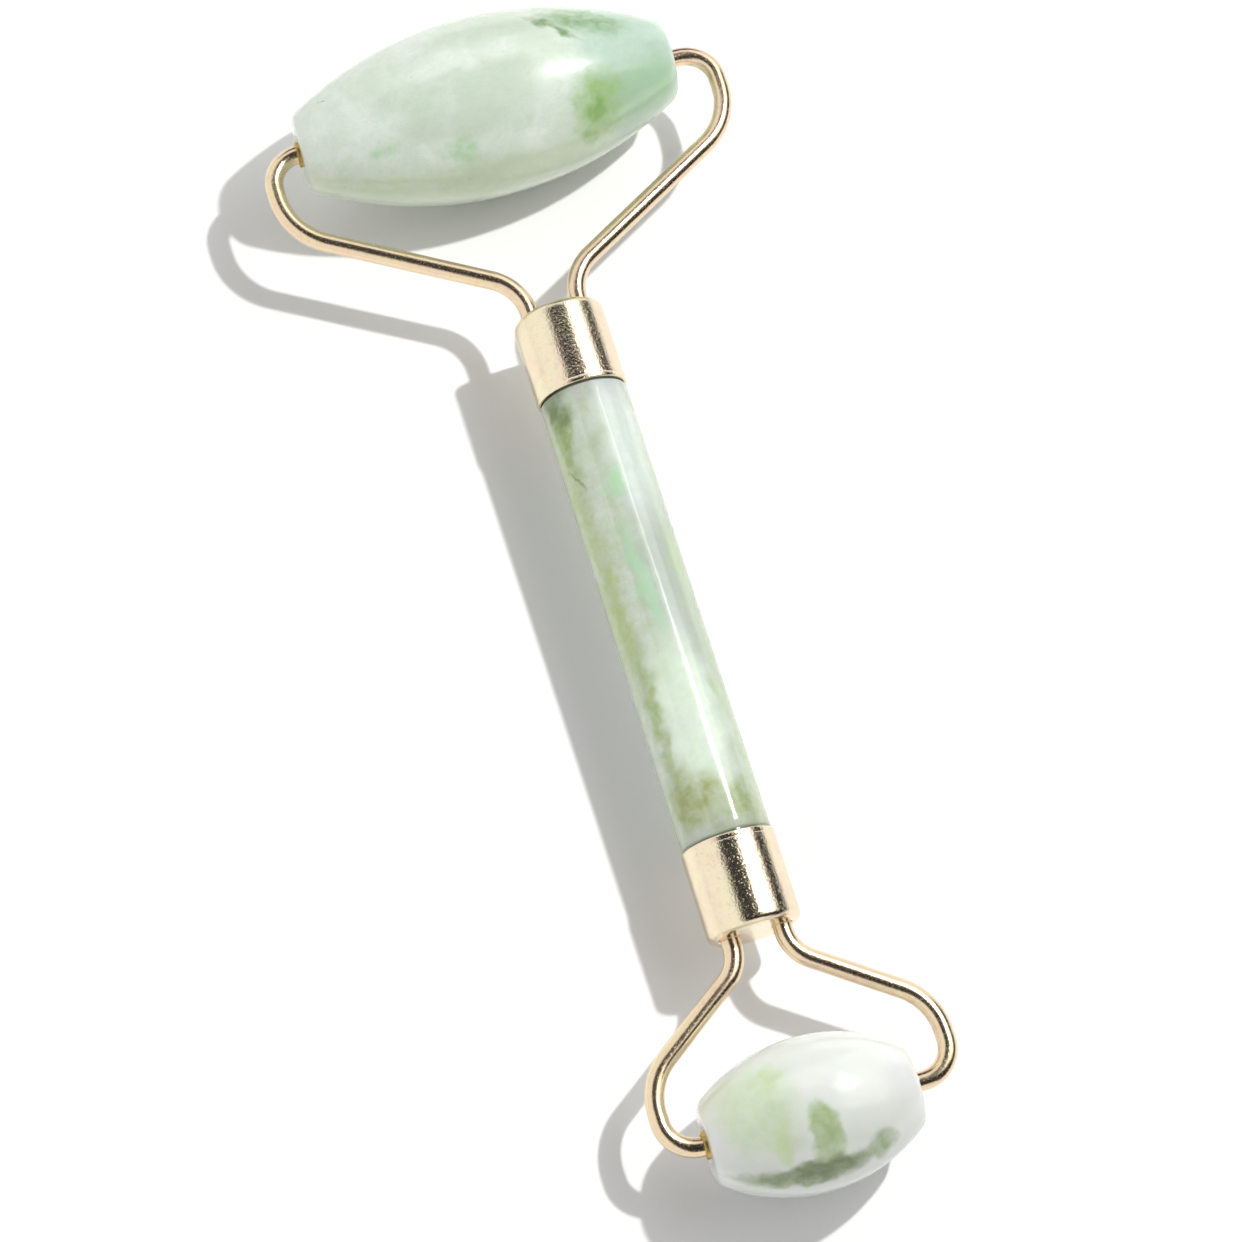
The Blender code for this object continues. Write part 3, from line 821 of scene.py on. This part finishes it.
def plating(name, colour, blush, worn, roughness, pit_depth):
    """Pale gold plating: slow colour drift, fine pits, faint drawing marks and rubbed spots."""
    finish = Finish(name)
    shader = finish.shader
    drift = finish.rise(finish.noise(0.16, 3.0, 0.55, 0.5), 0.35, 0.65)
    colour_patch = finish.rise(finish.noise(0.9, 4.0, 0.65, 0.4, offset=7), 0.5, 0.72)
    pits = finish.rise(finish.noise(5.0, 2.0, 0.6, offset=3), 0.60, 0.72)
    grit = finish.noise(3.6, 2.5, 0.6, offset=19)
    marks_place = finish.vector("MULTIPLY", finish.place, (0.6, 14.0, 0.6))
    marks = finish.noise(1.0, 4.0, 0.7, place=marks_place)
    tone = finish.mix(drift, colour, blush)
    tone = finish.mix(finish.times(colour_patch, 0.25), tone, worn)
    tone = finish.mix(finish.times(pits, 0.35), tone, worn)
    finish.links.new(tone, shader.inputs["Base Color"])
    shader.inputs["Metallic"].default_value = 1.0
    smears = finish.noise(0.8, 5.0, 0.7, 0.8, offset=29)
    rough = finish.math("MULTIPLY_ADD", smears, 0.12, roughness - 0.06)
    rough = finish.math("ADD", rough, finish.times(pits, 0.15))
    finish.links.new(rough, shader.inputs["Roughness"])
    ripple = finish.bump(finish.noise(0.9, 2.0, 0.5, offset=37), 0.02 * MM, 0.3)
    drawn = finish.bump(marks, 0.0015 * MM, 0.4, ripple)
    grain = finish.bump(grit, pit_depth, 1.0, drawn)
    finish.links.new(finish.bump(finish.math("SUBTRACT", 1.0, pits), pit_depth * 0.3, 0.7, grain),
                     shader.inputs["Normal"])
    return finish.material


def brass(name):
    """Dull unplated brass of the bushes, darker in its small hollows."""
    finish = Finish(name)
    shader = finish.shader
    patches = finish.rise(finish.noise(1.2, 4.0, 0.6, 0.5), 0.38, 0.66)
    grit = finish.noise(7.0, 3.0, 0.65, offset=5)
    tone = finish.mix(patches, srgb(176, 146, 78), srgb(206, 178, 104))
    tone = finish.mix(finish.rise(grit, 0.56, 0.7), tone, srgb(118, 92, 46))
    finish.links.new(tone, shader.inputs["Base Color"])
    shader.inputs["Metallic"].default_value = 1.0
    rough = finish.math("MULTIPLY_ADD", grit, 0.2, 0.24)
    finish.links.new(rough, shader.inputs["Roughness"])
    finish.links.new(finish.bump(grit, 0.004 * MM, 0.6), shader.inputs["Normal"])
    return finish.material


def cement(name):
    """Yellowish hardened cement with a few small bubbles."""
    finish = Finish(name)
    shader = finish.shader
    haze = finish.noise(0.8, 4.0, 0.6, 0.5)
    bubbles = finish.rise(finish.cells(1.6), 0.16, 0.12)
    tone = finish.mix(haze, srgb(206, 196, 168), srgb(226, 219, 198))
    tone = finish.mix(finish.times(bubbles, 0.5), tone, srgb(178, 166, 134))
    finish.links.new(tone, shader.inputs["Base Color"])
    rough = finish.math("MULTIPLY_ADD", haze, 0.25, 0.35)
    finish.links.new(rough, shader.inputs["Roughness"])
    finish.links.new(finish.bump(finish.math("SUBTRACT", haze, bubbles), 0.02 * MM, 0.5),
                     shader.inputs["Normal"])
    return finish.material


def paper_floor(name):
    """Matt white studio board with a barely visible tooth."""
    finish = Finish(name)
    shader = finish.shader
    tooth = finish.noise(1.5, 4.0, 0.6)
    tone = finish.mix(tooth, (0.89, 0.89, 0.887, 1.0), (0.91, 0.91, 0.907, 1.0))
    finish.links.new(tone, shader.inputs["Base Color"])
    shader.inputs["Roughness"].default_value = 0.9
    shader.inputs["Specular IOR Level"].default_value = 0.15
    return finish.material


def wear(piece, material):
    piece.data.materials.clear()
    piece.data.materials.append(material)


# =====================================================================================
# Pieces
# =====================================================================================

large_jade = jade("large_stone_jade", "X", LARGE_PATTERN_RADIUS, PALE_BODY, LARGE_STAINS_AND_SHADE, seed=3.0)
small_jade = jade("small_stone_jade", "X", SMALL_PATTERN_RADIUS, WHITE_BODY, SMALL_STAINS, seed=57.0)
handle_jade = jade("handle_jade", "Y", HANDLE_PATTERN_RADIUS, GREEN_BODY_AND_SHADE, HANDLE_STAINS_AND_SHEEN, seed=101.0)
cap_plating = plating(
    "ferrule_plating", srgb(241, 230, 199), srgb(240, 222, 199), srgb(214, 188, 146),
    roughness=0.17, pit_depth=0.032 * MM)
wire_plating = plating(
    "wire_plating", srgb(237, 217, 182), srgb(235, 210, 184), srgb(204, 173, 130),
    roughness=0.21, pit_depth=0.014 * MM)
bush_metal = brass("bush_brass")
cement_body = cement("cement")

handle = make_handle()
wear(handle, handle_jade)
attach(handle, "frame")
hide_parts("handle_stone")

SMALL_DENT = {"from_mouth": 1.9 * MM, "turn": math.radians(133), "size": 0.3 * MM, "depth": 0.07 * MM}
for place, facing, dent in (("upper", 1, SMALL_DENT), ("lower", -1, None)):
    cap = make_ferrule(place + "_ferrule_cap", place + "_ferrule", facing, dent)
    wear(cap, cap_plating)
    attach(cap, "frame")
    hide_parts(place + "_ferrule")
    wear(frame["nodes"][place + "_adhesive_plug"], cement_body)

for size, axis, ferrule in (("large", large_axis, "upper_ferrule"), ("small", small_axis, "lower_ferrule")):
    wire = make_fork(size + "_fork_round_wire", size, axis, size + "_roller_stone", ferrule)
    wear(wire, wire_plating)
    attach(wire, "frame")
    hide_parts(size + "_fork_wire")

# Size, place, radius at the ends, rings along the side, seed of the hollows and material
ROLLERS = (
    ("large", LARGE_STONE, LARGE_STONE_END_RADIUS, 84, 2.0, large_jade),
    ("small", SMALL_STONE, SMALL_STONE_END_RADIUS, 56, 9.0, small_jade),
)
for size, matrix, end_radius, rings, seed, stone_jade in ROLLERS:
    body = size + "_roller"
    barrel = make_stone(size + "_jade_barrel", body + "_stone", matrix, end_radius, rings, seed)
    wear(barrel, stone_jade)
    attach(barrel, body)
    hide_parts(body + "_stone")
    for side in ("left", "right"):
        node = body + "_bush_" + side
        bush = make_bush(node + "_turned", node, matrix)
        wear(bush, bush_metal)
        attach(bush, body)
        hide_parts(node)


# =====================================================================================
# Floor, light and camera
# =====================================================================================

def make_floor():
    shape = bmesh.new()
    bmesh.ops.create_grid(shape, x_segments=8, y_segments=8, size=FLOOR_REACH)
    floor = new_piece("studio_floor", shape, Matrix.Identity(4))
    wear(floor, paper_floor("studio_board"))


def make_world():
    """Bright walls, a dark part of the room overhead and a softbox to the right of it.

    Plated metal mirrors these as its light and dark bands.
    """
    world = bpy.data.worlds.new("studio_room")
    world.use_nodes = True
    bpy.context.scene.world = world
    nodes = world.node_tree.nodes
    links = world.node_tree.links

    def math_node(operation, one, two):
        node = nodes.new("ShaderNodeMath")
        node.operation = operation
        for socket, value in zip(node.inputs, (one, two)):
            if isinstance(value, bpy.types.NodeSocket):
                links.new(value, socket)
            else:
                socket.default_value = value
        return node.outputs[0]

    def fade(value, start, end, low, high):
        node = nodes.new("ShaderNodeMapRange")
        node.interpolation_type = "SMOOTHSTEP"
        node.inputs["From Min"].default_value = start
        node.inputs["From Max"].default_value = end
        node.inputs["To Min"].default_value = low
        node.inputs["To Max"].default_value = high
        links.new(value, node.inputs["Value"])
        return node.outputs["Result"]

    def between(angle, start, end):
        after = fade(angle, start - ROOM_EDGE, start + ROOM_EDGE, 0.0, 1.0)
        before = fade(angle, end - ROOM_EDGE, end + ROOM_EDGE, 1.0, 0.0)
        return math_node("MULTIPLY", after, before)

    direction = nodes.new("ShaderNodeTexCoord").outputs["Generated"]
    split = nodes.new("ShaderNodeSeparateXYZ")
    links.new(direction, split.inputs[0])
    x, y, z = split.outputs
    turn = math_node("ARCTAN2", x, z)
    tilt = math_node("ARCSINE", y, 0.0)
    dark = between(turn, LEFT_WALL_ENDS, RIGHT_DARK_ENDS)
    behind_front = fade(tilt, FRONT_WALL_ENDS - ROOM_EDGE, FRONT_WALL_ENDS + ROOM_EDGE, 0.0, 1.0)
    dark = math_node("MULTIPLY", dark, behind_front)
    dark = math_node("MULTIPLY", dark, math_node("SUBTRACT", 1.0, between(tilt, *BACK_PANEL)))
    room = fade(dark, 0.0, 1.0, WALL_BRIGHT, ROOM_DARK)
    box = math_node("MULTIPLY", between(turn, *SOFTBOX_TURN), between(tilt, *SOFTBOX_TILT))
    box = math_node("MULTIPLY", box, SOFTBOX_BRIGHT)
    background = nodes["Background"]
    background.inputs["Color"].default_value = (1.0, 0.995, 0.985, 1.0)
    seen_directly = nodes.new("ShaderNodeLightPath").outputs["Is Camera Ray"]
    behind = fade(seen_directly, 0.0, 1.0, 0.0, HORIZON_BRIGHT)
    lit = math_node("MULTIPLY", math_node("MAXIMUM", room, box), math_node("SUBTRACT", 1.0, seen_directly))
    links.new(math_node("ADD", lit, behind), background.inputs["Strength"])


def hang_light(name, light, place, aim):
    lamp = bpy.data.objects.new(name, light)
    bpy.context.scene.collection.objects.link(lamp)
    lamp.location = place
    lamp.rotation_euler = (aim - place).to_track_quat("-Z", "Y").to_euler()
    lamp.visible_camera = False


def make_key():
    """The small hard lamp. Its light doesn't weaken with distance, so the board stays evenly white."""
    light = bpy.data.lights.new("key_light", "AREA")
    light.shape = "DISK"
    light.size = KEY_DIAMETER
    light.energy = KEY_POWER
    light.color = (1.0, 0.99, 0.97)
    light.use_nodes = True
    nodes = light.node_tree.nodes
    even = nodes.new("ShaderNodeLightFalloff")
    even.inputs["Strength"].default_value = 1.0 / KEY_PLACE.length_squared
    light.node_tree.links.new(even.outputs["Constant"], nodes["Emission"].inputs["Strength"])
    hang_light("key_light", light, KEY_PLACE, Vector((0.0, 0.0, 0.0)))


def make_strip():
    light = bpy.data.lights.new("strip_light", "AREA")
    light.shape = "RECTANGLE"
    light.size = STRIP_LENGTH
    light.size_y = STRIP_WIDTH
    light.energy = STRIP_POWER
    hang_light("strip_light", light, STRIP_PLACE, Vector((0.0, STRIP_PLACE.y, 0.0)))


def make_camera():
    data = bpy.data.cameras.new("photo_camera")
    data.lens = CAMERA_LENS
    data.sensor_fit = "HORIZONTAL"
    data.sensor_width = 36.0
    data.clip_start = 0.01
    data.clip_end = 50.0
    camera = bpy.data.objects.new("photo_camera", data)
    bpy.context.scene.collection.objects.link(camera)
    level = math.cos(CAMERA_ELEVATION)
    forward = Vector((
        math.sin(CAMERA_HEADING) * level,
        math.cos(CAMERA_HEADING) * level,
        -math.sin(CAMERA_ELEVATION),
    ))
    level_right = forward.cross(Vector((0.0, 0.0, 1.0))).normalized()
    level_up = level_right.cross(forward)
    right = math.cos(CAMERA_ROLL) * level_right + math.sin(CAMERA_ROLL) * level_up
    up = right.cross(forward)
    matrix = Matrix((right, up, -forward)).transposed().to_4x4()
    matrix.translation = CAMERA_AIM - forward * CAMERA_DISTANCE
    camera.matrix_world = matrix
    bpy.context.scene.camera = camera


make_floor()
make_world()
make_key()
make_strip()
make_camera()
bpy.context.scene.view_settings.view_transform = "Standard"
